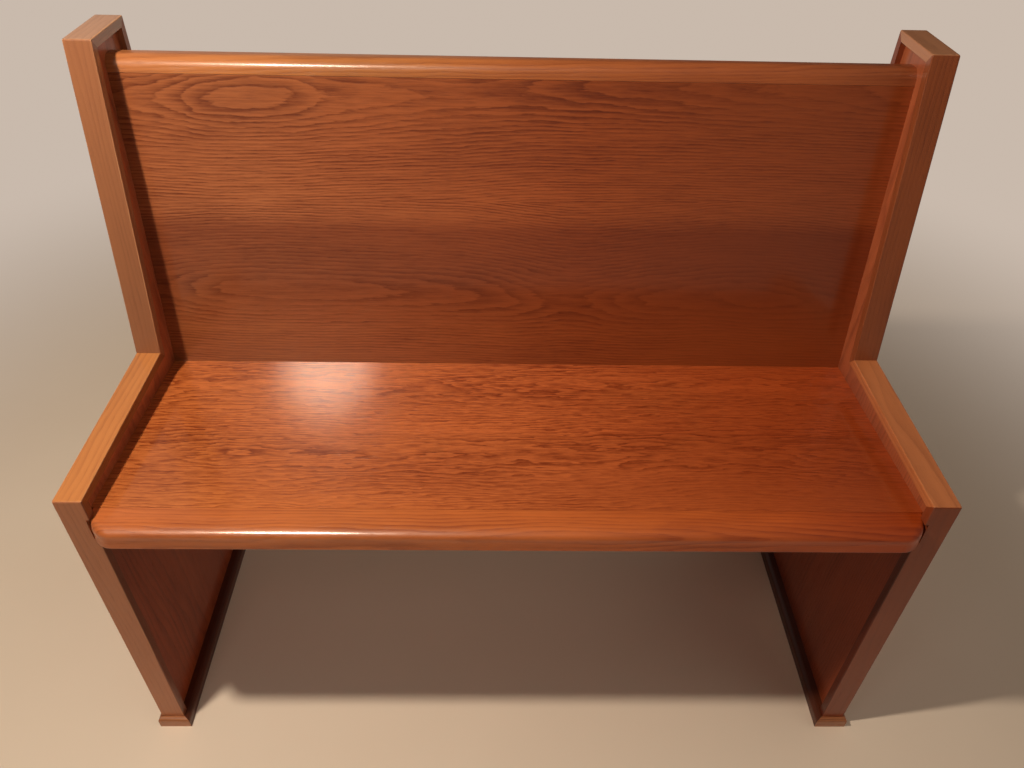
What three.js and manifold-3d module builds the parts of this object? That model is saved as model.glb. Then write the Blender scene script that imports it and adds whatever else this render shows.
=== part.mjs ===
// Monks bench: a short oak settle with panelled L-shaped ends, a sloping seat and a leaning back.
import * as THREE from "three";
import { mergeVertices, toCreasedNormals } from "three/addons/utils/BufferGeometryUtils.js";
import Module from "manifold-3d";

const wasm = await Module();
wasm.setup();

// Overall sizes in mm. The left end is on -X, the front faces -Y and the floor is at z = 0.
const overallWidth = 1055;
const armHeight = 508;
const armDepth = 278;
const totalHeight = 910;
const uprightLean = 10.5;

// Each end: a veneered panel in a mitred frame of solid oak bands.
const endThickness = 34;
const bandThickness = 12;
const bandEdgeRadius = 1.5;
const bandCornerRadius = 2.5;
const endPanelThickness = 19;
const footRailHeight = 19;

// Shoe moulding round the foot of each end.
const shoeHeight = 19;
const shoeFrontProjection = 6.5;
const shoeInnerProjection = 8.5;
const shoeOuterProjection = 4.5;
const shoeRoundShare = 0.9;

// Seat: a veneered panel with a solid nosing, falling to the rear.
const seatDrop = 32.3;
const seatSlope = 3.38;
const seatThickness = 25;
const nosingThickness = 32;
const nosingDepth = 38;
const nosingProjection = 16;
const nosingCornerRadius = 28;
const nosingTopRadius = 12;
const nosingBottomRadius = 3;
const nosingFadeShare = 0.3;
const nosingEndGap = 0.5;
const notchDepth = 5;
const notchClearance = 0.5;

// Back: a veneered panel with a moulded cap, leaning to the rear.
const backSetback = 56.4;
const backLean = 8;
const backThickness = 19;
const backTail = 8;
const rearMargin = 24.4;
const capDrop = 48.5;
const capWidth = 32;
const capThickness = 21.5;
const capFrontRadius = 14;
const capRearRadius = 5;
const capLowerRadius = 2;

// The gap left for glue where sloping faces meet.
const glueLine = 0.3;

// Supports under the seat and behind the back.
const cleatWidth = 19;
const cleatHeight = 38;
const cleatSetback = 32;
const cleatRailGap = 4;
const railThickness = 19;
const railHeight = 38;
const backCleatEndGap = 16;
const backCleatClearance = 0.5;

// Wood screws.
const screwLength = 30;
const screwHeadRadius = 4.2;
const screwHeadHeight = 2.6;
const screwShankRadius = 2;
const screwTipLength = 5;
const screwClearance = 0.3;
const screwEndMargin = 40;
const railScrewMargin = 120;
const railScrewCount = 4;
const cleatScrewCount = 3;
const cutOverrun = 5;

// Numbers of facets.
const roundSteps = 5;
const easeSteps = 3;
const cornerSteps = 9;
const screwSides = 12;
const creaseAngle = Math.PI / 5;

const halfWidth = overallWidth / 2;
const endCentre = halfWidth - endThickness / 2;
const innerFace = halfWidth - endThickness;
const recessFloor = endCentre - endPanelThickness / 2;
const uprightTurn = THREE.MathUtils.degToRad(uprightLean);
const seatTurn = THREE.MathUtils.degToRad(seatSlope);
const backTurn = THREE.MathUtils.degToRad(backLean);
const seatHeight = armHeight - seatDrop;
const topDepth = backSetback + backThickness / Math.cos(backTurn) + rearMargin;
const topFront = armDepth + Math.tan(uprightTurn) * (totalHeight - armHeight);
const rearTop = topFront + topDepth;

const group = new THREE.Group();
group.name = "monks_bench";

// Colours and surfaces of the woods and the steel.
const finishes = {
  frame: { color: 0x9c5c34, roughness: 0.38, metalness: 0 },
  seat: { color: 0xa0542f, roughness: 0.34, metalness: 0 },
  back: { color: 0x8c4c2a, roughness: 0.34, metalness: 0 },
  cleat: { color: 0xa98258, roughness: 0.7, metalness: 0 },
  screw: { color: 0xb7b3a8, roughness: 0.35, metalness: 1 },
};

// A closed body skinned over equal rings of points, with flat ends triangulated from one outline.
function skin(rings, outline) {
  const positions = [];
  const faces = [];
  const count = outline.length;
  for (const ring of rings) {
    for (const p of ring) {
      positions.push(p.x, p.y, p.z);
    }
  }
  for (let level = 0; level < rings.length - 1; level += 1) {
    for (let i = 0; i < count; i += 1) {
      const a = level * count + i;
      const b = level * count + ((i + 1) % count);
      faces.push([a, b, b + count], [a, b + count, a + count]);
    }
  }
  const last = (rings.length - 1) * count;
  const clockwise = THREE.ShapeUtils.isClockWise(outline);
  for (const triangle of THREE.ShapeUtils.triangulateShape(outline, [])) {
    const [a, b, c] = clockwise ? triangle.toReversed() : triangle;
    faces.push([a, c, b], [last + a, last + b, last + c]);
  }
  return closedBody(positions, faces);
}

// An indexed geometry whose faces look outwards.
function closedBody(positions, faces) {
  const at = (i) => new THREE.Vector3().fromArray(positions, i * 3);
  let volume = 0;
  for (const [a, b, c] of faces) {
    volume += at(a).dot(at(b).cross(at(c)));
  }
  const index = faces.flatMap(([a, b, c]) => (volume < 0 ? [a, c, b] : [a, b, c]));
  const geometry = new THREE.BufferGeometry();
  geometry.setAttribute("position", new THREE.Float32BufferAttribute(positions, 3));
  geometry.setIndex(index);
  return geometry;
}

// A straight length along X of an outline drawn in depth and height.
function extrudeAlongX(points, from, to) {
  const outline = points.map(([y, z]) => new THREE.Vector2(y, z));
  const ringAt = (x) => points.map(([y, z]) => new THREE.Vector3(x, y, z));
  return skin([ringAt(from), ringAt(to)], outline);
}

// Points of a quarter round between two perpendicular directions.
function quarterRound(centre, radius, from, to, steps = roundSteps) {
  const points = [];
  for (let i = 0; i <= steps; i += 1) {
    const angle = (Math.PI / 2) * (i / steps);
    points.push([
      centre[0] + radius * (from[0] * Math.cos(angle) + to[0] * Math.sin(angle)),
      centre[1] + radius * (from[1] * Math.cos(angle) + to[1] * Math.sin(angle)),
    ]);
  }
  return points;
}

function toManifold(geometry) {
  const bare = geometry.clone();
  bare.deleteAttribute("normal");
  bare.deleteAttribute("uv");
  const merged = mergeVertices(bare);
  const mesh = new wasm.Mesh({
    numProp: 3,
    vertProperties: new Float32Array(merged.attributes.position.array),
    triVerts: new Uint32Array(merged.index.array),
  });
  return new wasm.Manifold(mesh);
}

function cut(geometry, tools) {
  let body = toManifold(geometry);
  for (const tool of tools) {
    body = body.subtract(toManifold(tool));
  }
  const mesh = body.getMesh();
  const result = new THREE.BufferGeometry();
  result.setAttribute("position", new THREE.Float32BufferAttribute(mesh.vertProperties, 3));
  result.setIndex(Array.from(mesh.triVerts));
  return result;
}

function addPiece(name, geometry, finish) {
  const bare = geometry.clone();
  bare.deleteAttribute("normal");
  bare.deleteAttribute("uv");
  const mesh = new THREE.Mesh(toCreasedNormals(bare, creaseAngle), new THREE.MeshStandardMaterial(finishes[finish]));
  mesh.name = name;
  group.add(mesh);
}

// Corners of an end seen from the side, as [depth, height] measured from its front foot.
const corners = {
  frontFoot: [0, 0],
  armFront: [0, armHeight],
  armRear: [armDepth, armHeight],
  topFront: [topFront, totalHeight],
  topRear: [rearTop, totalHeight],
  rearFoot: [rearTop, 0],
};

const roundedCorners = ["armFront", "topFront", "topRear"];

// Where the inner faces of the bands on both sides of a corner meet.
function innerCorner(before, corner, after) {
  const a = new THREE.Vector2(corner[0] - before[0], corner[1] - before[1]).normalize();
  const b = new THREE.Vector2(after[0] - corner[0], after[1] - corner[1]).normalize();
  const bisector = new THREE.Vector2(a.y + b.y, -a.x - b.x).normalize();
  const reach = bandThickness / (bisector.x * a.y - bisector.y * a.x);
  return [corner[0] + bisector.x * reach, corner[1] + bisector.y * reach];
}

const c = corners;
const inner = {
  frontFoot: [bandThickness, 0],
  armFront: innerCorner(c.frontFoot, c.armFront, c.armRear),
  armRear: innerCorner(c.armFront, c.armRear, c.topFront),
  topFront: innerCorner(c.armRear, c.topFront, c.topRear),
  topRear: innerCorner(c.topFront, c.topRear, c.rearFoot),
  rearFoot: [rearTop - bandThickness, 0],
};

// The end of a band's outer line at one corner, drawn in by an inset from the band's outer face. At a turned
// corner the line runs into the round that both bands share, as far as the mitre.
function outerEnd(name, along, outwards, inset) {
  const corner = new THREE.Vector2(...corners[name]);
  const mitre = new THREE.Vector2(...inner[name]).sub(corner).divideScalar(bandThickness);
  if (!roundedCorners.includes(name)) {
    return [corner.addScaledVector(mitre, inset)];
  }
  const centre = corner.clone().addScaledVector(mitre, bandCornerRadius);
  const halfTurn = Math.acos(1 / mitre.length());
  const points = [];
  for (let i = 0; i <= easeSteps; i += 1) {
    const angle = halfTurn * (i / easeSteps);
    const radius = bandCornerRadius - inset;
    points.push(centre.clone()
      .addScaledVector(outwards, radius * Math.cos(angle))
      .addScaledVector(along, radius * Math.sin(angle)));
  }
  return points;
}

// A band between two corners, mitred to its neighbours, with its outer edges eased: side views of the band
// stacked along X, each drawn in from its outer face by the eased edge.
function band(from, to, centre) {
  const half = endThickness / 2;
  const along = new THREE.Vector2(...corners[to]).sub(new THREE.Vector2(...corners[from])).normalize();
  const outwards = new THREE.Vector2(-along.y, along.x);
  const back = along.clone().negate();
  const viewAt = (inset) => [
    ...outerEnd(from, back, outwards, inset).toReversed(),
    ...outerEnd(to, along, outwards, inset),
    new THREE.Vector2(...inner[to]),
    new THREE.Vector2(...inner[from]),
  ];
  const levels = quarterRound([bandEdgeRadius, half - bandEdgeRadius], bandEdgeRadius, [-1, 0], [0, 1], easeSteps);
  const stack = [...levels.map(([inset, x]) => [inset, -x]).toReversed(), ...levels];
  const rings = stack.map(([inset, x]) => viewAt(inset).map((p) => new THREE.Vector3(centre + x, p.x, p.y)));
  return skin(rings, viewAt(0));
}

// One side of the shoe moulding: a section with a rounded top, swept between two mitred corners of its plan.
function shoeSide(projection, inside, outside) {
  const r = projection * shoeRoundShare;
  const section = [
    [0, 0],
    [projection, 0],
    ...quarterRound([projection - r, shoeHeight - r], r, [1, 0], [0, 1]),
    [0, shoeHeight],
  ];
  const outline = section.map(([n, h]) => new THREE.Vector2(n, h));
  const ringAt = (end) => section.map(([n, h]) => {
    const share = n / projection;
    const x = inside[end][0] + (outside[end][0] - inside[end][0]) * share;
    const y = inside[end][1] + (outside[end][1] - inside[end][1]) * share;
    return new THREE.Vector3(x, y, h);
  });
  return skin([ringAt(0), ringAt(1)], outline);
}

// Points measured along the seat's top plane and below it.
function seatPoint(along, below) {
  const y = along * Math.cos(seatTurn) - below * Math.sin(seatTurn);
  const z = seatHeight - along * Math.sin(seatTurn) - below * Math.cos(seatTurn);
  return [y, z];
}

// Points measured up the back's front face from arm height, and rearwards from it.
function backPoint(up, behind) {
  const y = armDepth + backSetback + up * Math.sin(backTurn) + behind * Math.cos(backTurn);
  const z = armHeight + up * Math.cos(backTurn) - behind * Math.sin(backTurn);
  return [y, z];
}
function backUpAt(height) {
  return (height - armHeight) / Math.cos(backTurn);
}

// Where a level below the seat's top plane meets a plane in front of the back.
function seatMeetsBack(below, forward) {
  const [y0, z0] = seatPoint(0, below);
  const [y1, z1] = backPoint(0, -forward);
  const slope = Math.tan(seatTurn);
  const rise = Math.tan(backTurn);
  const z = (z0 - slope * (y1 - y0) + slope * rise * z1) / (1 + slope * rise);
  return [y1 + rise * (z - z1), z];
}

// A wood screw with a domed head, lying along +Z with its head's seat at the origin.
function screw() {
  const tip = screwLength - screwTipLength;
  const profile = [
    new THREE.Vector2(0, -screwHeadHeight),
    new THREE.Vector2(screwHeadRadius / 2, -screwHeadHeight * Math.cos(Math.PI / 6)),
    new THREE.Vector2(screwHeadRadius * Math.cos(Math.PI / 6), -screwHeadHeight / 2),
    new THREE.Vector2(screwHeadRadius, 0),
    new THREE.Vector2(screwShankRadius, 0),
    new THREE.Vector2(screwShankRadius, tip),
    new THREE.Vector2(0, screwLength),
  ];
  const geometry = new THREE.LatheGeometry(profile, screwSides);
  geometry.deleteAttribute("normal");
  geometry.deleteAttribute("uv");
  const turned = mergeVertices(geometry);
  turned.rotateX(Math.PI / 2);
  return turned;
}

// The clearance hole for a screw, with the same axis and origin.
function screwHole() {
  const radius = screwShankRadius + screwClearance;
  const length = screwLength + screwClearance + cutOverrun;
  const geometry = new THREE.CylinderGeometry(radius, radius, length, screwSides);
  geometry.rotateX(Math.PI / 2);
  geometry.translate(0, 0, length / 2 - cutOverrun);
  return geometry;
}

// A screw or its hole, moved to a place and aimed along a direction.
function placed(geometry, position, direction) {
  const turn = new THREE.Quaternion().setFromUnitVectors(new THREE.Vector3(0, 0, 1), direction);
  return geometry.clone().applyQuaternion(turn).translate(position.x, position.y, position.z);
}

function spread(from, to, count) {
  return Array.from({ length: count }, (_, i) => from + (to - from) * (i / (count - 1)));
}

// Screws through the seat cleats, the back cleats and the rear rail.
const cleatTop = seatThickness + glueLine;
const [seatCleatRear] = seatMeetsBack(cleatTop, railThickness + cleatRailGap);
const seatCleatEnd = seatCleatRear / Math.cos(seatTurn);
const railRear = seatMeetsBack(cleatTop, glueLine);
const railFront = seatMeetsBack(cleatTop, glueLine + railThickness);
const railUp = backUpAt(railRear[1]);
const backBottom = railUp - railHeight - backTail;
const backTop = backUpAt(totalHeight - capDrop);
const backCleatFrom = backBottom + backCleatEndGap;
const backCleatTo = backTop - backCleatEndGap;
const backCleatFace = backThickness + glueLine;
const backCleatRoom = (rearMargin - bandThickness) * Math.cos(backTurn);
const backCleatThickness = backCleatRoom - glueLine - backCleatClearance;
const screwSets = {};
for (const [side, sign] of [["left", -1], ["right", 1]]) {
  const outwards = new THREE.Vector3(sign, 0, 0);
  const x = sign * (recessFloor - cleatWidth);
  screwSets[`${side}_seat_cleat_screw`] = spread(cleatSetback + screwEndMargin, seatCleatEnd - screwEndMargin, cleatScrewCount)
    .map((along) => seatPoint(along, cleatTop + cleatHeight / 2))
    .map(([y, z]) => [new THREE.Vector3(x, y, z), outwards]);
  screwSets[`${side}_back_cleat_screw`] = spread(backCleatFrom + screwEndMargin, backCleatTo - screwEndMargin, cleatScrewCount)
    .map((up) => backPoint(up, backCleatFace + backCleatThickness / 2))
    .map(([y, z]) => [new THREE.Vector3(x, y, z), outwards]);
}
const rearwards = new THREE.Vector3(0, Math.cos(backTurn), -Math.sin(backTurn));
screwSets.rear_rail_screw = spread(railScrewMargin - recessFloor, recessFloor - railScrewMargin, railScrewCount)
  .map((x) => [x, ...backPoint(railUp - railHeight / 2, -glueLine - railThickness)])
  .map(([x, y, z]) => [new THREE.Vector3(x, y, z), rearwards]);

function holesFor(...names) {
  return names.flatMap((name) => screwSets[name].map(([position, direction]) => placed(screwHole(), position, direction)));
}

// The two ends.
const notchTop = seatPoint(0, 0)[1] + notchClearance;
const notchBottom = seatPoint(bandThickness, nosingThickness)[1] - notchClearance;
for (const [side, sign] of [["left", -1], ["right", 1]]) {
  const centre = sign * endCentre;
  const panelOutline = [
    [bandThickness, footRailHeight],
    inner.armFront,
    inner.armRear,
    inner.topFront,
    inner.topRear,
    [rearTop - bandThickness, footRailHeight],
  ];
  const panelHalf = endPanelThickness / 2;
  const panel = extrudeAlongX(panelOutline, centre - panelHalf, centre + panelHalf);
  addPiece(`${side}_end_panel`, cut(panel, holesFor(`${side}_seat_cleat_screw`, `${side}_back_cleat_screw`)), "frame");

  const notch = new THREE.BoxGeometry(
    notchDepth + cutOverrun,
    bandThickness + 2 * cutOverrun,
    notchTop - notchBottom,
  );
  notch.translate(
    sign * (innerFace + (notchDepth - cutOverrun) / 2),
    bandThickness / 2,
    (notchTop + notchBottom) / 2,
  );
  addPiece(`${side}_front_stile`, cut(band("frontFoot", "armFront", centre), [notch]), "frame");
  addPiece(`${side}_arm_cap`, band("armFront", "armRear", centre), "frame");
  addPiece(`${side}_upright_edge`, band("armRear", "topFront", centre), "frame");
  addPiece(`${side}_top_cap`, band("topFront", "topRear", centre), "frame");
  addPiece(`${side}_rear_edge`, band("topRear", "rearFoot", centre), "frame");

  const railOutline = [
    [bandThickness, 0],
    [rearTop - bandThickness, 0],
    [rearTop - bandThickness, footRailHeight],
    [bandThickness, footRailHeight],
  ];
  const half = endThickness / 2;
  addPiece(`${side}_foot_rail`, extrudeAlongX(railOutline, centre - half, centre + half), "frame");

  const near = centre - sign * half;
  const far = centre + sign * half;
  const nearEdge = near - sign * shoeInnerProjection;
  const farEdge = far + sign * shoeOuterProjection;
  const footPlan = [[near, 0], [far, 0], [far, rearTop], [near, rearTop]];
  const shoePlan = [
    [nearEdge, -shoeFrontProjection],
    [farEdge, -shoeFrontProjection],
    [farEdge, rearTop + shoeFrontProjection],
    [nearEdge, rearTop + shoeFrontProjection],
  ];
  const shoeSides = {
    front: shoeFrontProjection,
    outer: shoeOuterProjection,
    rear: shoeFrontProjection,
    inner: shoeInnerProjection,
  };
  Object.entries(shoeSides).forEach(([face, projection], i) => {
    const next = (i + 1) % footPlan.length;
    const moulding = shoeSide(projection, [footPlan[i], footPlan[next]], [shoePlan[i], shoePlan[next]]);
    addPiece(`${side}_shoe_${face}`, moulding, "frame");
  });

  const cleatOutline = [
    seatPoint(cleatSetback, cleatTop),
    seatPoint(seatCleatEnd, cleatTop),
    seatPoint(seatCleatEnd, cleatTop + cleatHeight),
    seatPoint(cleatSetback, cleatTop + cleatHeight),
  ];
  const cleatInner = sign * (recessFloor - cleatWidth);
  const seatCleat = extrudeAlongX(cleatOutline, cleatInner, sign * recessFloor);
  addPiece(`${side}_seat_cleat`, cut(seatCleat, holesFor(`${side}_seat_cleat_screw`)), "cleat");
  const backCleatOutline = [
    backPoint(backCleatFrom, backCleatFace),
    backPoint(backCleatTo, backCleatFace),
    backPoint(backCleatTo, backCleatFace + backCleatThickness),
    backPoint(backCleatFrom, backCleatFace + backCleatThickness),
  ];
  const backCleat = extrudeAlongX(backCleatOutline, cleatInner, sign * recessFloor);
  addPiece(`${side}_back_cleat`, cut(backCleat, holesFor(`${side}_back_cleat_screw`)), "cleat");
}

// The seat panel, its rear edge bevelled to the leaning back.
const seatFrontJoint = nosingDepth - nosingProjection;
const seatOutline = [
  seatPoint(seatFrontJoint, 0),
  seatMeetsBack(0, glueLine),
  seatMeetsBack(seatThickness, glueLine),
  seatPoint(seatFrontJoint, seatThickness),
];
addPiece("seat_panel", extrudeAlongX(seatOutline, -recessFloor, recessFloor), "seat");

// The nosing: level outlines stacked from its underside to its top, each drawn in from the widest by the
// rounded section, so that the round top edge runs along the front and turns both rounded plan corners.
function nosing() {
  const jointFace = seatFrontJoint - glueLine;
  const sectionLevels = [
    ...quarterRound(
      [nosingBottomRadius, nosingThickness - nosingBottomRadius], nosingBottomRadius, [0, 1], [-1, 0],
    ),
    ...quarterRound([nosingTopRadius, nosingTopRadius], nosingTopRadius, [-1, 0], [0, -1]),
  ];
  const reach = innerFace + notchDepth - nosingEndGap;
  const planAt = (inset) => {
    const side = [];
    for (let i = 0; i <= cornerSteps; i += 1) {
      const share = i / cornerSteps;
      const angle = (Math.PI / 2) * share;
      const held = Math.min(share / nosingFadeShare, 1);
      const r = nosingCornerRadius - inset * held * held * (3 - 2 * held);
      side.push([
        reach - nosingCornerRadius + r * Math.cos(angle),
        nosingCornerRadius - nosingProjection - r * Math.sin(angle),
      ]);
    }
    return [
      [reach, jointFace],
      ...side,
      ...side.toReversed().map(([x, along]) => [-x, along]),
      [-reach, jointFace],
    ];
  };
  const rings = sectionLevels.map(([inset, below]) => planAt(inset).map(([x, along]) => {
    const [y, z] = seatPoint(along, below);
    return new THREE.Vector3(x, y, z);
  }));
  const outline = planAt(0).map(([x, along]) => new THREE.Vector2(x, along));
  return skin(rings, outline);
}
addPiece("seat_nosing", nosing(), "seat");

// The rail under the seat's rear edge, against the back.
const railOutline = [
  railRear,
  railFront,
  backPoint(railUp - railHeight, -glueLine - railThickness),
  backPoint(railUp - railHeight, -glueLine),
];
const rail = extrudeAlongX(railOutline, -recessFloor, recessFloor);
addPiece("seat_rear_rail", cut(rail, holesFor("rear_rail_screw")), "cleat");

// The back panel and the cap on its top edge.
const backOutline = [
  backPoint(backBottom, 0),
  backPoint(backTop, 0),
  backPoint(backTop, backThickness),
  backPoint(backBottom, backThickness),
];
const backPanel = extrudeAlongX(backOutline, -recessFloor, recessFloor);
addPiece("back_panel", cut(backPanel, holesFor("rear_rail_screw")), "back");
const capSection = [
  [0, 0],
  ...quarterRound([capFrontRadius, capThickness - capFrontRadius], capFrontRadius, [-1, 0], [0, 1]),
  ...quarterRound([capWidth - capRearRadius, capThickness - capRearRadius], capRearRadius, [0, 1], [1, 0]),
  ...quarterRound([capWidth - capLowerRadius, capLowerRadius], capLowerRadius, [1, 0], [0, -1]),
];
const capOutline = capSection.map(([behind, up]) => backPoint(backTop + glueLine + up, behind));
addPiece("back_cap", extrudeAlongX(capOutline, -recessFloor, recessFloor), "back");

// The screws, numbered from the front, from below or from the left.
for (const [name, places] of Object.entries(screwSets)) {
  places.forEach(([position, direction], i) => {
    addPiece(`${name}_${i + 1}`, placed(screw(), position, direction), "screw");
  });
}

// The origin lies on the floor, below the middle of the whole bench.
const middle = new THREE.Box3().setFromObject(group).getCenter(new THREE.Vector3());
for (const mesh of group.children) {
  mesh.geometry.translate(-middle.x, -middle.y, 0);
}

export default group;
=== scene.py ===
"""A small oak bench with a fixed raked back, built like a short church pew."""
import math

import bmesh
import bpy
from mathutils import Euler, Matrix, Vector


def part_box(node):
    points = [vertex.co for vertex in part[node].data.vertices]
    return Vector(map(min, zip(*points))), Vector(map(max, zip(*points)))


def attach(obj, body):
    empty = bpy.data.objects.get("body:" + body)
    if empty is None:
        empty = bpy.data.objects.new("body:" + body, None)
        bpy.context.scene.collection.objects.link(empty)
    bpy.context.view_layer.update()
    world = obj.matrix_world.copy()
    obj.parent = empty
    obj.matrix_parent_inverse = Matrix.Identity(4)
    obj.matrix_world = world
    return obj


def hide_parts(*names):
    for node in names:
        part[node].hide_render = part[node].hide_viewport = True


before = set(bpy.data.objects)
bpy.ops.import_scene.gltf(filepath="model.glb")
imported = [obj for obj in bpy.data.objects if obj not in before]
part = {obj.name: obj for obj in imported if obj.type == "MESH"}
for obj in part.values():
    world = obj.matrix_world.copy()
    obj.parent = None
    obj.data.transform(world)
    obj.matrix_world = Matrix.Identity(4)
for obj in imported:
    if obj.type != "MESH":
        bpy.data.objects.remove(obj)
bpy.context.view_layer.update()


# The two ends. Each is a veneered panel in a frame of solid red oak bands: a stile and an arm in
# front, a raked upright, a top, a rear band and a foot rail. The bands are glued on standing a
# little proud, their long edges eased by hand, and all is stained red brown and satin varnished.
class Socket:
    """A value in a finish: sums on it add Math nodes."""

    def __init__(self, finish, socket):
        self.finish, self.socket = finish, socket

    def maths(self, operation, *values):
        return self.finish.add("ShaderNodeMath", {"operation": operation}, dict(enumerate(values)))

    def __add__(self, other):
        return self.maths("ADD", self, other)

    def __sub__(self, other):
        return self.maths("SUBTRACT", self, other)

    def __rsub__(self, other):
        return self.maths("SUBTRACT", other, self)

    def __mul__(self, other):
        return self.maths("MULTIPLY", self, other)

    def __truediv__(self, other):
        return self.maths("DIVIDE", self, other)

    def __rtruediv__(self, other):
        return self.maths("DIVIDE", other, self)

    def __pow__(self, other):
        return self.maths("POWER", self, other)

    def __rpow__(self, other):
        return self.maths("POWER", other, self)

    def __abs__(self):
        return self.maths("ABSOLUTE", self)

    __radd__, __rmul__ = __add__, __mul__

    def least(self, other):
        return self.maths("MINIMUM", self, other)

    def fraction(self):
        return self.maths("FRACT", self)

    def step(self, start, end):
        """0 below start, 1 above end, smooth between."""
        return self.finish.add("ShaderNodeMapRange", {"interpolation_type": "SMOOTHSTEP"},
                               {"Value": self, "From Min": start, "From Max": end})


class Finish:
    """One finish, made node by node."""

    def __init__(self, name, kind=bpy.data.materials):
        self.made = kind.new(name)
        self.made.use_nodes = True
        self.tree = self.made.node_tree
        self.tree.nodes.clear()

    def add(self, kind, settings, sockets, output=0):
        """A node of one kind: its settings first, then a value or a link for each socket."""
        node = self.tree.nodes.new(kind)
        for name, setting in settings.items():
            if name == "stops":
                while len(node.color_ramp.elements) < len(setting):
                    node.color_ramp.elements.new(1.0)
                for stop, (place, colour) in zip(node.color_ramp.elements, setting):
                    stop.position, stop.color = place, colour
            elif name == "spread":
                node.color_ramp.interpolation = setting
            else:
                setattr(node, name, setting)
        for name, value in sockets.items():
            if isinstance(value, Socket):
                self.tree.links.new(value.socket, node.inputs[name])
            else:
                node.inputs[name].default_value = value
        return Socket(self, node.outputs[output]) if node.outputs else None

    def mix(self, share, first, second, blend="MIX"):
        return self.add("ShaderNodeMix", {"data_type": "RGBA", "blend_type": blend},
                        {0: share, 6: first, 7: second}, 2)

    def either(self, share, first, second):
        """The first shader, giving way to the second as the share grows."""
        return self.add("ShaderNodeMixShader", {}, {0: share, 1: first, 2: second})

    def ramp(self, value, stops, spread="LINEAR"):
        return self.add("ShaderNodeValToRGB", {"stops": stops, "spread": spread}, {"Fac": value})

    def curve(self, value, stops, spread="LINEAR"):
        """A number that changes along a value, given at stops."""
        return self.ramp(value, [(at, (level, level, level, 1.0)) for at, level in stops], spread)

    def tint(self, colour, place, stops):
        """The colour times a share that changes along a place, given at stops."""
        share = self.ramp(place, [(at, (*rgb, 1.0)) for at, *rgb in stops])
        return self.mix(1.0, colour, share, "MULTIPLY")

    def noise(self, place, scale, detail=2.0, roughness=0.5):
        return self.add("ShaderNodeTexNoise", {"noise_dimensions": "3D"},
                        {"Vector": place, "Scale": scale, "Detail": detail,
                         "Roughness": roughness})

    def streaks(self, place, per_metre, detail, roughness):
        """Noise drawn out along the grain: so many to the metre along, across and inwards."""
        drawn = self.add("ShaderNodeVectorMath", {"operation": "MULTIPLY"},
                         {0: place, 1: per_metre})
        return self.noise(drawn, 1.0, detail, roughness)

    def here(self):
        return self.add("ShaderNodeTexCoord", {}, {}, "Object")

    def place(self, turn=(0.0, 0.0, 0.0), start=(0.0, 0.0, 0.0)):
        """The spot on the piece, counted from start and turned so that the grain lies along X."""
        move = -(Euler(turn).to_matrix() @ Vector(start))
        return self.add("ShaderNodeMapping", {"vector_type": "POINT"},
                        {"Vector": self.here(), "Rotation": turn, "Location": move})

    def split(self, place):
        return [self.add("ShaderNodeSeparateXYZ", {}, {"Vector": place}, k) for k in range(3)]

    def varnish(self, colour, roughness, height, depth, coat=0.9, dull=0.13):
        """Closes the finish: wood colour under a satin varnish, with the pores as dents."""
        bump = self.add("ShaderNodeBump", {},
                        {"Height": height, "Distance": depth, "Strength": 1.0}, "Normal")
        shader = self.add("ShaderNodeBsdfPrincipled", {},
                          {"Base Color": colour, "Roughness": roughness, "Normal": bump,
                           "Coat Weight": coat, "Coat Roughness": dull,
                           "Specular IOR Level": 0.3, "IOR": 1.5})
        self.add("ShaderNodeOutputMaterial", {}, {"Surface": shader})
        return self.made


def stain(red, green, blue):
    """A colour as it is read off a screen, 0 to 255, made linear."""
    return tuple(((v / 255 + 0.055) / 1.055) ** 2.4 if v > 10 else v / 255 / 12.92
                 for v in (red, green, blue)) + (1.0,)


INNER_FACE, OUTER_FACE = (corner.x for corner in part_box("right_front_stile"))
END_MIDDLE, BAND_HALF = (INNER_FACE + OUTER_FACE) / 2, (OUTER_FACE - INNER_FACE) / 2
PANEL_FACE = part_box("right_end_panel")[0].x
JUST_INSIDE = INNER_FACE + 0.0009


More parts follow.
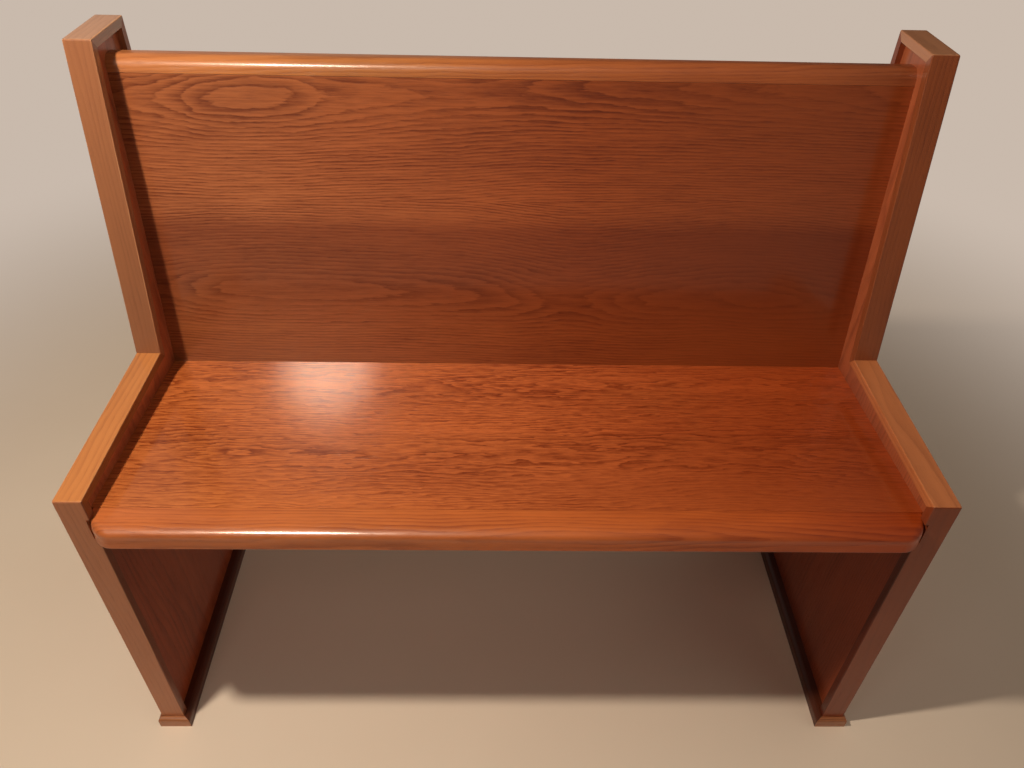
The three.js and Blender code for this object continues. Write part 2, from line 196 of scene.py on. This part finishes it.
def sawn_oak(name, turn, start, light, dark, ring=0.0030, heart=(0.10, 0.07), wander=0.006,
             contrast=0.5, coat=0.8, line=0.7, inside=None, worn=False, painted_falloff=None, thin=0.0,
             dull=0.13):
    """Solid red oak: growth rings round a heart beside the board, cut by its face, with open pores
    drawn out along the grain and slow changes of colour. inside is a distance from the bench's
    middle, a height and a tint: faces nearer and lower than that are darkened by the tint, a
    painted shade. worn lightens the long edges, a painted highlight. painted_falloff tints the
    wood along the bench, a painted shade that makes it darker and redder away from the lamp. Below
    the height thin there is little varnish, and dull is how rough the varnish is."""
    wood = Finish(name)
    spot = wood.place(turn, start)
    along, across, deep = wood.split(spot)
    sway = wood.streaks(spot, (2.2, 12.0, 12.0), 3.0, 0.5) - 0.5
    shake = wood.streaks(spot, (30.0, 300.0, 300.0), 2.0, 0.6) - 0.5
    sideways = across - heart[0]
    inward = deep - heart[1] - along * 0.02
    distance = (sideways * sideways + inward * inward) ** 0.5
    count = (distance + sway * (wander * 2.0) + shake * 0.0014) / ring
    year = wood.curve(count.fraction(),
                      [(0.0, 0.2), (0.08, 1.0), (0.4, 0.45), (0.75, 0.05), (1.0, 0.2)])
    strength = wood.streaks(spot, (3.0, 40.0, 40.0), 2.0, 0.5).step(0.3, 0.7)
    pores = wood.streaks(spot, (45.0, 1000.0, 1000.0), 2.0, 0.6).step(0.5, 0.72)
    streak = wood.streaks(spot, (5.0, 220.0, 220.0), 3.0, 0.6)
    patch = wood.streaks(spot, (7.0, 22.0, 22.0), 3.0, 0.55)
    darkness = (year * (strength * 0.5 + 0.2) + pores * (year * 0.3 + 0.15)
                + (streak - 0.5) * line + (patch - 0.5) * 1.1) * contrast
    colour = wood.mix((darkness + 0.22).step(-0.15, 1.0), stain(*light), stain(*dark))
    x, _, z = wood.split(wood.here())
    # Painted shade: faces nearer the bench's middle than inside, and below its height, are
    # darkened by its tint.
    if inside:
        out, top, tone = inside
        inner = (1.0 - abs(x).step(out - 0.0006, out + 0.0006)) * (1.0 - z.step(top - 0.05, top))
        colour = wood.mix(inner, colour, tone, "MULTIPLY")
    # Painted highlight: a broken light line along the long edges, on their eased rounds.
    if worn:
        off = abs(abs(x) - END_MIDDLE)
        edge_glint = (off.step(BAND_HALF - 0.0017, BAND_HALF - 0.0009) * patch.step(0.35, 0.6)
               * (1.0 - off.step(BAND_HALF - 0.0006, BAND_HALF - 0.0001)))
        colour = wood.mix(edge_glint * 0.45, colour, stain(222, 160, 110))
    # Painted shade: the wood darker and redder along the bench, away from the lamp.
    if painted_falloff:
        colour = wood.tint(colour, x + 0.5, painted_falloff)
    if thin:
        coat = z.step(thin - 0.008, thin) * (coat * 0.8) + coat * 0.2
    height = 1.0 - (pores * 0.7 + year * 0.3)
    roughness = 0.36 + pores * 0.12 + (patch - 0.5) * 0.12
    return wood.varnish(colour, roughness, height, 0.00012, coat, dull)


SHARP, MERGE = math.radians(40), 0.000002


def rounded_piece(name, shape, node, oak):
    """Puts a shape in the place of a solid, its rounded edges shaded as rounds, so that they
    catch the light in a line as planed and sanded wood does."""
    bmesh.ops.remove_doubles(shape, verts=shape.verts, dist=MERGE)
    bmesh.ops.recalc_face_normals(shape, faces=shape.faces)
    for face in shape.faces:
        face.smooth = True
    for edge in shape.edges:
        edge.smooth = edge.calc_face_angle(0.0) < SHARP
    mesh = bpy.data.meshes.new(name)
    shape.to_mesh(mesh)
    shape.free()
    mesh.materials.append(oak)
    piece = bpy.data.objects.new(name, mesh)
    bpy.context.collection.objects.link(piece)
    rounds = piece.modifiers.new("rounds", "WEIGHTED_NORMAL")
    rounds.keep_sharp = True
    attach(piece, "root")
    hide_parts(node)


def eased(node, oak):
    """The solid's own shape again, with rounds for its facets."""
    shape = bmesh.new()
    shape.from_mesh(part[node].data)
    rounded_piece(node + "_eased", shape, node, oak)


def coated(node, finish):
    """The solid as it is, with a finish of its own."""
    part[node].material_slots[0].material = finish


LEAN = math.radians(10.5)
UPWARD, REARWARD = (0.0, math.radians(90), 0.0), (0.0, 0.0, math.radians(90))
# Tints of painted shade for the inner faces: deep on the stiles and arms, lighter on the rear
# edges, and low on the panels below the seat.
DEEP_PAINTED_SHADE, REAR_PAINTED_SHADE, LOW_PAINTED_SHADE = ((0.40, 0.30, 0.28, 1.0), (0.75, 0.62, 0.58, 1.0),
                                      (0.66, 0.5, 0.42, 1.0))
PANEL_SHADED_TO = 0.49
# Each end's colours for its bands. The right end's stile and upright are darker and redder than
# the left's: a painted shade of the lamp's falloff. Only the left end, nearer the lamp, gets the
# painted highlight on its edges.
ends = {
    "left_": {"cut_at": 0.31, "stained_to": 0.95, "contrast": 0.28, "worn": True,
              "stile": ((194, 120, 76), (130, 68, 40)), "upright": ((160, 101, 64), (108, 58, 34)),
              "arm": ((206, 130, 68), (150, 82, 42)), "top": ((184, 134, 100), (138, 92, 64))},
    "right_": {"cut_at": 0.77, "stained_to": 0.46, "contrast": 0.36, "worn": False,
               "stile": ((150, 68, 33), (98, 38, 17)), "upright": ((158, 82, 43), (100, 44, 22)),
               "arm": ((212, 126, 72), (156, 84, 46)), "top": ((202, 134, 90), (148, 90, 58))}}
# The panel's inner faces below the seat carry a painted shade.
end_veneer = sawn_oak("end_veneer", UPWARD, (0.9, 0.11, 0.0), (192, 102, 60), (124, 56, 32),
                      ring=0.0036, heart=(0.02, 0.055), wander=0.012, coat=0.3,
                      inside=(END_MIDDLE, PANEL_SHADED_TO, LOW_PAINTED_SHADE))
shoe_oak = sawn_oak("shoe_oak", REARWARD, (0.53, 0.0, 0.4), (176, 106, 64), (108, 54, 30),
                    coat=0.4)
cross_shoe_oak = sawn_oak("cross_shoe_oak", (0.0, 0.0, 0.0), (0.2, 0.1, 0.35),
                          (190, 118, 70), (118, 60, 34), coat=0.5)
# Painted shade: the outer shoes' oak made much darker for the inner shoes and foot rails, which
# lie under the seat.
inner_shoe_oak = sawn_oak("inner_shoe_oak", REARWARD, (0.2, 0.3, 0.1), (96, 46, 26), (60, 26, 14),
                          coat=0.1)
for side, end in ends.items():
    cut_at, worn = end["cut_at"], end["worn"]
    # The bands' inner faces carry a painted shade, and the left end's long edges carry a painted
    # highlight.
    stile_oak, rear_oak = [
        sawn_oak(side + name, UPWARD, (cut_at, 0.0, 0.0), *end["stile"], ring=0.0060,
                 wander=0.020, contrast=0.24, coat=0.25, line=0.3,
                 inside=(JUST_INSIDE, end["stained_to"], tone), worn=worn)
        for name, tone in (("stile_oak", DEEP_PAINTED_SHADE), ("rear_oak", REAR_PAINTED_SHADE))]
    upright_oak = sawn_oak(side + "upright_oak", (LEAN, math.radians(90), 0.0),
                           (cut_at + 0.4, 0.2, 0.1), *end["upright"], ring=0.0060,
                           wander=0.020, contrast=end["contrast"], coat=0.5, line=0.3, worn=worn)
    arm_oak = sawn_oak(side + "arm_oak", REARWARD, (0.13, cut_at, -0.2), *end["arm"],
                       ring=0.0070, wander=0.020, contrast=0.4, coat=0.5, line=0.4,
                       inside=(JUST_INSIDE, end["stained_to"], DEEP_PAINTED_SHADE), worn=worn)
    top_oak = sawn_oak(side + "top_oak", REARWARD, (0.53, cut_at, -0.4), *end["top"],
                       ring=0.0070, wander=0.020, contrast=0.4, coat=0.5, line=0.4, worn=worn)
    for name, oak in (("front_stile", stile_oak), ("upright_edge", upright_oak),
                      ("rear_edge", rear_oak), ("arm_cap", arm_oak), ("top_cap", top_oak),
                      ("shoe_front", cross_shoe_oak), ("shoe_rear", cross_shoe_oak),
                      ("shoe_outer", shoe_oak), ("shoe_inner", inner_shoe_oak)):
        eased(side + name, oak)
    coated(side + "foot_rail", inner_shoe_oak)
    coated(side + "end_panel", end_veneer)


# The seat. A board faced with flat-sawn red oak veneer, sloping back a little, with a thick solid
# oak nosing glued along its front: the nosing's front is rounded over and its plan corners are
# turned, so its end grain shows there.
BREADTH = 0.4


def leaf_oak(name, turn, start, light, dark, leaves, ring, sway, line, contrast,
             painted_falloff, bands, quiet, depth=0.00012):
    """Flat-sawn veneer. Each leaf has a heart line along it: (where it lies across the leaf, how
    deep the pith is under it), at stops of the length. Growth rings close round a shallow place as
    an eye, and run to points where the depth changes. sway gives how far the rings wander and how
    many times to the metre, and line how many times to the metre they break up. painted_falloff
    tints the wood along the leaves, a painted shade that makes it darker and redder away from the
    lamp. bands tints it across them, at places up to the BREADTH: partly the leaves' own tone,
    partly painted sheen and painted shade. quiet is how much quieter the lower part is, and from
    where to where it grows louder. The right end is quieter too."""
    wood = Finish(name)
    spot = wood.place(turn, start)
    along, across, _ = wood.split(spot)
    run = along / (2 * PANEL_FACE)
    distance = None
    for hearts, depths in leaves:
        sideways = across - wood.curve(run, hearts, "B_SPLINE")
        pith = wood.curve(run, depths, "B_SPLINE")
        here = (sideways * sideways + pith * pith) ** 0.5
        distance = here if distance is None else distance.least(here)
    for far, per_metre, detail in sway:
        distance = distance + (wood.streaks(spot, per_metre, detail, 0.55) - 0.5) * far
    count = distance / ring
    year = wood.curve(count.fraction(), [(0.0, 0.35), (0.07, 1.0), (0.3, 0.62), (0.7, 0.12),
                                         (0.94, 0.0), (1.0, 0.35)])
    strength = wood.streaks(spot, (4.0, 45.0, 45.0), 3.0, 0.6).step(0.3, 0.7)
    streak = wood.streaks(spot, line, 3.0, 0.65)
    pores = wood.streaks(spot, (50.0, 1100.0, 1100.0), 2.0, 0.6).step(0.48, 0.7)
    patch = wood.streaks(spot, (2.5, 9.0, 9.0), 3.0, 0.5)
    figure = (year * (strength * 0.5 + 0.3) + pores * (year * 0.3 + 0.12)
              + (streak.step(0.36, 0.64) - 0.5) * 0.36 + (patch - 0.5) * 0.8)
    hush, low, high = quiet
    calm = 1.0 - run.step(0.55, 0.85) * 0.4 - (1.0 - across.step(low, high)) * hush
    darkness = (figure - 0.3) * calm * contrast + 0.3 * contrast
    colour = wood.mix((darkness + 0.18).step(-0.2, 1.0), stain(*light), stain(*dark))
    # Painted shade: darker and redder along the leaves, away from the lamp.
    colour = wood.tint(colour, run, painted_falloff)
    # Tints in bands across the leaves: partly their own tone, partly painted sheen and painted
    # shade.
    colour = wood.tint(colour, across / BREADTH, [(at / BREADTH, *rgb) for at, *rgb in bands])
    height = 1.0 - (pores * 0.3 + year * 0.4 + streak * 0.8)
    roughness = 0.34 + pores * 0.1 + (patch - 0.5) * 0.12
    return wood.varnish(colour, roughness, height, depth)


def lengthwise(*stops):
    """Values at places along the bench, counted from its middle."""
    return [((x + PANEL_FACE) / (2 * PANEL_FACE), value) for x, value in stops]


SEAT_SLOPE, SEAT_DROP = math.radians(3.38), 0.0323
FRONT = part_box("right_front_stile")[0].y
ARM_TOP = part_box("right_arm_cap")[1].z
SEAT_TOP = ARM_TOP - SEAT_DROP
seat_oak = leaf_oak(
    "seat_oak", (SEAT_SLOPE, 0.0, 0.0), (-PANEL_FACE, FRONT, SEAT_TOP),
    (223, 119, 63), (134, 52, 20),
    [(lengthwise((-0.501, 0.113), (-0.15, 0.118), (0.1, 0.125), (0.3, 0.14), (0.501, 0.12)),
      lengthwise((-0.501, 0.045), (-0.33, 0.035), (-0.13, 0.05), (0.09, 0.038), (0.3, 0.05),
                 (0.501, 0.04))),
     (lengthwise((-0.501, 0.262), (0.0, 0.272), (0.501, 0.28)),
      lengthwise((-0.501, 0.05), (-0.15, 0.06), (0.045, 0.04), (0.2, 0.05), (0.501, 0.045)))],
    ring=0.0046, sway=[(0.022, (3.0, 12.0, 12.0), 2.0), (0.017, (11.0, 60.0, 60.0), 3.0),
                       (0.0050, (32.0, 260.0, 260.0), 3.0)],
    line=(45.0, 420.0, 420.0), contrast=0.78,
    # Painted shade: darker and redder towards the right end.
    painted_falloff=[(0.1, 0.94, 1, 0.84), (0.5, 0.97, 0.91, 0.8), (0.86, 0.87, 0.61, 0.41),
            (1.0, 0.84, 0.55, 0.36)],
    # Bands across the seat: partly the leaves' own tone, partly a painted sheen that makes the
    # front edge paler.
    bands=[(0.03, 0.94, 1, 1), (0.07, 0.85, 0.87, 0.9), (0.16, 0.83, 0.83, 0.83),
           (0.167, 0.92, 0.92, 0.92), (0.258, 0.92, 0.92, 0.92), (0.265, 1, 1, 1)],
    quiet=(0.3, 0.05, 0.12), depth=0.0002)
coated("seat_panel", seat_oak)
nosing_oak = sawn_oak("nosing_oak", (SEAT_SLOPE, 0.0, 0.0), (-0.6, FRONT, SEAT_TOP),
                      (214, 117, 60), (146, 66, 32), ring=0.0050, heart=(0.09, -0.06),
                      wander=0.022, contrast=0.6, thin=0.464, dull=0.16,
                      # Painted shade: darker and redder towards the right end.
                      painted_falloff=[(0.0, 0.92, 0.93, 0.9), (0.3, 0.93, 0.95, 0.85),
                              (0.6, 1, 0.88, 0.68), (1.0, 0.72, 0.36, 0.15)])

NOSING_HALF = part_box("seat_nosing")[1].x
NOSING_THICK, NOSING_PROUD, NOSING_BEHIND = 0.032, 0.016, 0.0217
PLAN_RADIUS, PLAN_STEPS, TIGHTENING = 0.028, 14, 0.6
UNDER_ROUND, ROLL_BACK, ROLL_DOWN = 0.003, 0.024, 0.013


def nosing_outline(inset, below):
    """The nosing's plan so far below the seat's top, drawn in by inset along its front, in the
    seat's own directions. The corners grow tighter with it, just enough that their rounds still
    end before the back edge."""
    radius = PLAN_RADIUS - inset * TIGHTENING
    half = [(NOSING_HALF, NOSING_BEHIND)]
    for step in range(PLAN_STEPS + 1):
        turn = math.radians(90) / PLAN_STEPS * step
        half.append((NOSING_HALF - radius * (1 - math.cos(turn)),
                     inset - NOSING_PROUD + radius * (1 - math.sin(turn))))
    return [(x, along, -below) for x, along in half + [(-x, along) for x, along in reversed(half)]]


# Its section, as (in from the front, below the top): a small round below, and on top a long roll,
# worn softer than a quarter round. The plan is drawn up through it, level by level.
section = [(UNDER_ROUND * (1 - math.sin(turn)), NOSING_THICK - UNDER_ROUND * (1 - math.cos(turn)))
           for turn in map(math.radians, range(0, 91, 30))]
section += [(ROLL_BACK * (1 - math.cos(turn)), ROLL_DOWN * (1 - math.sin(turn)))
            for turn in map(math.radians, range(0, 91, 9))]
board = bmesh.new()
levels = [board.faces.new([board.verts.new(spot) for spot in nosing_outline(*section[0])])]
for inset, below in section[1:]:
    drawn = bmesh.ops.extrude_face_region(board, geom=levels[-1:])["geom"]
    levels.append(next(item for item in drawn if isinstance(item, bmesh.types.BMFace)))
    for corner, spot in zip(levels[-1].verts, nosing_outline(inset, below)):
        corner.co = spot
bmesh.ops.delete(board, geom=levels[1:-1], context="FACES_ONLY")
laid = Matrix.Translation((0.0, FRONT, SEAT_TOP)) @ Matrix.Rotation(-SEAT_SLOPE, 4, "X")
bmesh.ops.transform(board, matrix=laid, verts=board.verts)
rounded_piece("rolled_nosing", board, "seat_nosing", nosing_oak)


# The back. A veneered board raked eight degrees, its two leaves of flat-sawn oak laid one above
# the other, let into the ends and capped by a solid oak rail with a rounded front.
BACK_RAKE, BACK_SETBACK = math.radians(8), 0.0564
BACK_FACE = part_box("right_upright_edge")[0].y + BACK_SETBACK
back_oak = leaf_oak(
    "back_oak", (BACK_RAKE - math.radians(90), 0.0, 0.0), (-PANEL_FACE, BACK_FACE, ARM_TOP),
    (193, 109, 62), (113, 46, 20),
    [(lengthwise((-0.501, 0.326), (-0.334, 0.330), (-0.07, 0.335), (0.03, 0.347), (0.24, 0.352),
                 (0.501, 0.350)),
      lengthwise((-0.481, 0.059), (-0.418, 0.0516), (-0.394, 0.0479), (-0.334, 0.046),
                 (-0.278, 0.0479), (-0.244, 0.0516), (-0.171, 0.0553), (-0.074, 0.059),
                 (0.019, 0.0553), (0.086, 0.0516), (0.212, 0.0479), (0.292, 0.0442),
                 (0.432, 0.0405), (0.501, 0.038))),
     (lengthwise((-0.501, 0.066), (-0.074, 0.068), (0.079, 0.047), (0.25, 0.062), (0.332, 0.066),
                 (0.501, 0.05)),
      lengthwise((-0.481, 0.062), (-0.451, 0.0585), (-0.407, 0.0548), (-0.328, 0.053),
                 (-0.2, 0.0552), (-0.074, 0.057), (0.006, 0.061), (0.079, 0.071),
                 (0.139, 0.064), (0.199, 0.0585), (0.332, 0.053), (0.4, 0.0548),
                 (0.466, 0.0585), (0.501, 0.062)))],
    ring=0.0037, sway=[(0.008, (4.5, 22.0, 22.0), 2.0), (0.0034, (34.0, 190.0, 190.0), 3.0)],
    line=(16.0, 330.0, 330.0), contrast=0.66, quiet=(0.3, 0.15, 0.18),
    # Painted shade: darker and redder towards the right end.
    painted_falloff=[(0.15, 0.98, 1, 1), (0.5, 0.98, 0.78, 0.6), (0.6, 0.94, 0.68, 0.45),
            (1.0, 0.93, 0.66, 0.46)],
    # Bands across the back: the step at the seam is the leaves' own tone, the rest is painted
    # sheen and painted shade.
    bands=[(0.0, 0.84, 0.84, 0.76), (0.02, 0.78, 0.76, 0.72), (0.073, 0.67, 0.61, 0.6),
           (0.158, 0.65, 0.58, 0.58), (0.180, 0.88, 0.92, 0.95), (0.21, 0.9, 0.94, 0.95),
           (0.26, 0.8, 0.8, 0.8), (0.36, 0.74, 0.74, 0.7)])
coated("back_panel", back_oak)
cap_oak = sawn_oak("cap_oak", (0.0, 0.0, 0.0), (0.4, 0.0, -0.87),
                   (212, 131, 68), (127, 64, 32), ring=0.0040, heart=(0.05, -0.06), wander=0.014,
                   contrast=0.45, coat=0.4, dull=0.19,
                   # Painted shade: darker and redder towards the right end.
                   painted_falloff=[(0.0, 0.80, 0.78, 0.92), (0.3, 0.77, 0.78, 0.80),
                           (0.5, 0.77, 0.64, 0.64), (0.77, 0.78, 0.58, 0.61),
                           (1.0, 0.60, 0.44, 0.5)])
eased("back_cap", cap_oak)


# The hidden supports. Planed oak strips, stained with the rest but left plain: cleats screwed to
# the ends carry the seat and the back, and a rail stiffens the seat's rear edge.
support_colours = (176, 112, 70), (112, 58, 34)
cleat_oak = sawn_oak("cleat_oak", REARWARD, (0.2, 0.5, 0.0), *support_colours, ring=0.0026)
back_cleat_oak = sawn_oak("back_cleat_oak", (BACK_RAKE, math.radians(90), 0.0), (0.3, 0.1, 0.2),
                          *support_colours, ring=0.0026)
rail_oak = sawn_oak("rail_oak", (0.0, 0.0, 0.0), (0.0, 0.2, 0.1), *support_colours, ring=0.0026)
coated("seat_rear_rail", rail_oak)
for side in ends:
    coated(side + "seat_cleat", cleat_oak)
    coated(side + "back_cleat", back_cleat_oak)


# The screws that hold the supports. They are zinc plated steel, driven into clearance holes, and
# faintly brushed by the driver.
zinc = Finish("screw_zinc")
spot = zinc.place()
cloud = zinc.noise(spot, 900.0, 3.0)
scratch = zinc.streaks(spot, (6000.0, 900.0, 900.0), 2.0, 0.5)
plating = zinc.mix(cloud, stain(168, 170, 172), stain(205, 205, 200))
bump = zinc.add("ShaderNodeBump", {}, {"Height": scratch, "Distance": 0.00003}, "Normal")
steel = zinc.add("ShaderNodeBsdfPrincipled", {},
                 {"Base Color": plating, "Metallic": 1.0, "Roughness": 0.22 + scratch * 0.2,
                  "Normal": bump})
zinc.add("ShaderNodeOutputMaterial", {}, {"Surface": steel})
for name in part:
    if "screw" in name:
        coated(name, zinc.made)


# The floor it stands on, plain and pale and growing paler with distance, so that the varnish has
# something bright to reflect, and a soft light: one lamp on the left for the wood and its
# shadow, one for the sheen of the varnish, and a faint glow all round.
def sight(finish, mirrored):
    """1 for what the camera sees, mirrored for a reflection, and 0 for the light on things."""
    seen, through, reflected = [finish.add("ShaderNodeLightPath", {}, {}, kind) for kind in
                                ("Is Camera Ray", "Is Transmission Ray", "Is Glossy Ray")]
    return (seen + through + reflected * mirrored).least(1.0)


BACKDROP, BACKDROP_STRENGTH = stain(222, 205, 190), 0.8
floor_paint = Finish("pale_floor")
spot = floor_paint.place()
grain = floor_paint.noise(spot, 3.0, 3.0)
paint = floor_paint.mix(grain, stain(250, 225, 196), stain(242, 215, 185))
reach = floor_paint.add("ShaderNodeVectorMath", {"operation": "LENGTH"}, {0: spot}, 1)
matt = floor_paint.add("ShaderNodeBsdfPrincipled", {}, {"Base Color": paint, "Roughness": 0.7})
glow = floor_paint.add("ShaderNodeEmission", {},
                       {"Color": BACKDROP, "Strength": BACKDROP_STRENGTH})
behind = floor_paint.split(spot)[1].step(0.2, 1.2)
far = reach.step(0.9, 2.2) * sight(floor_paint, behind * 0.8)
floor_paint.add("ShaderNodeOutputMaterial", {}, {"Surface": floor_paint.either(far, matt, glow)})

slab = bmesh.new()
bmesh.ops.create_grid(slab, x_segments=1, y_segments=1, size=30.0)
floor_mesh = bpy.data.meshes.new("floor")
slab.to_mesh(floor_mesh)
slab.free()
floor_mesh.materials.append(floor_paint.made)
floor = bpy.data.objects.new("floor", floor_mesh)
bpy.context.collection.objects.link(floor)

for name, watts, radius, colour, stand, shines in (
        ("wood_lamp", 56.0, 0.035, (1.0, 0.94, 0.86), (-0.62, -0.38, 1.6), False),
        ("sheen_lamp", 170.0, 0.15, (1.0, 0.78, 0.6), (-0.65, -1.08, 1.8), True)):
    bulb = bpy.data.lights.new(name, "POINT")
    bulb.energy, bulb.shadow_soft_size, bulb.color = watts, radius, colour
    lamp = bpy.data.objects.new(name, bulb)
    lamp.location = stand
    lamp.visible_glossy, lamp.visible_diffuse = shines, not shines
    bpy.context.collection.objects.link(lamp)

surround = Finish("surround", bpy.data.worlds)
bpy.context.scene.world = surround.made
rightward, rearward, _ = surround.split(
    surround.add("ShaderNodeTexCoord", {}, {}, "Generated"))
lit = surround.add("ShaderNodeLightPath", {}, {}, "Is Diffuse Ray")


def faint_glow(strength, colour=(1.0, 0.93, 0.86, 1.0)):
    return surround.add("ShaderNodeBackground", {}, {"Color": colour, "Strength": strength})


soft = surround.either(rightward.step(0.2, 0.8) * lit, faint_glow(0.10), faint_glow(0.6))
dark = surround.either(lit, faint_glow(0.02), soft)
pale_side = sight(surround, rearward.step(-0.1, 0.7) * (1.0 - rightward.step(-0.3, 0.15)))
around = surround.either(pale_side, dark, faint_glow(0.24))
backdrop = faint_glow(BACKDROP_STRENGTH, BACKDROP)
surround.add("ShaderNodeOutputWorld", {},
             {"Surface": surround.either(sight(surround, 0.0), around, backdrop)})


# The camera, at the height and turn from which the bench was seen: above the seat, a little to
# the left of its middle, looking down. Its focal length is in pixels of the picture's width.
EYE = Vector((-0.021126, -0.839707, 1.20842))
YAW, PITCH, ROLL = 0.0273245, 0.696688, 0.0270181
FOCAL, PICTURE_WIDTH = 799.523, 1024
forward = Vector((math.sin(YAW) * math.cos(PITCH), math.cos(YAW) * math.cos(PITCH),
                  -math.sin(PITCH)))
sideways = Vector((math.cos(YAW), -math.sin(YAW), 0.0))
above = sideways.cross(forward)
right = sideways * math.cos(ROLL) + above * math.sin(ROLL)
up = above * math.cos(ROLL) - sideways * math.sin(ROLL)
lens = bpy.data.cameras.new("viewer")
lens.sensor_fit, lens.sensor_width = "HORIZONTAL", 36.0
lens.lens = FOCAL / PICTURE_WIDTH * lens.sensor_width
lens.clip_start, lens.clip_end = 0.01, 100.0
viewer = bpy.data.objects.new("viewer", lens)
bpy.context.collection.objects.link(viewer)
turned = Matrix((right, up, -forward)).transposed().to_4x4()
turned.translation = EYE
viewer.matrix_world = turned
bpy.context.scene.camera = viewer
bpy.context.scene.view_settings.view_transform = "Standard"
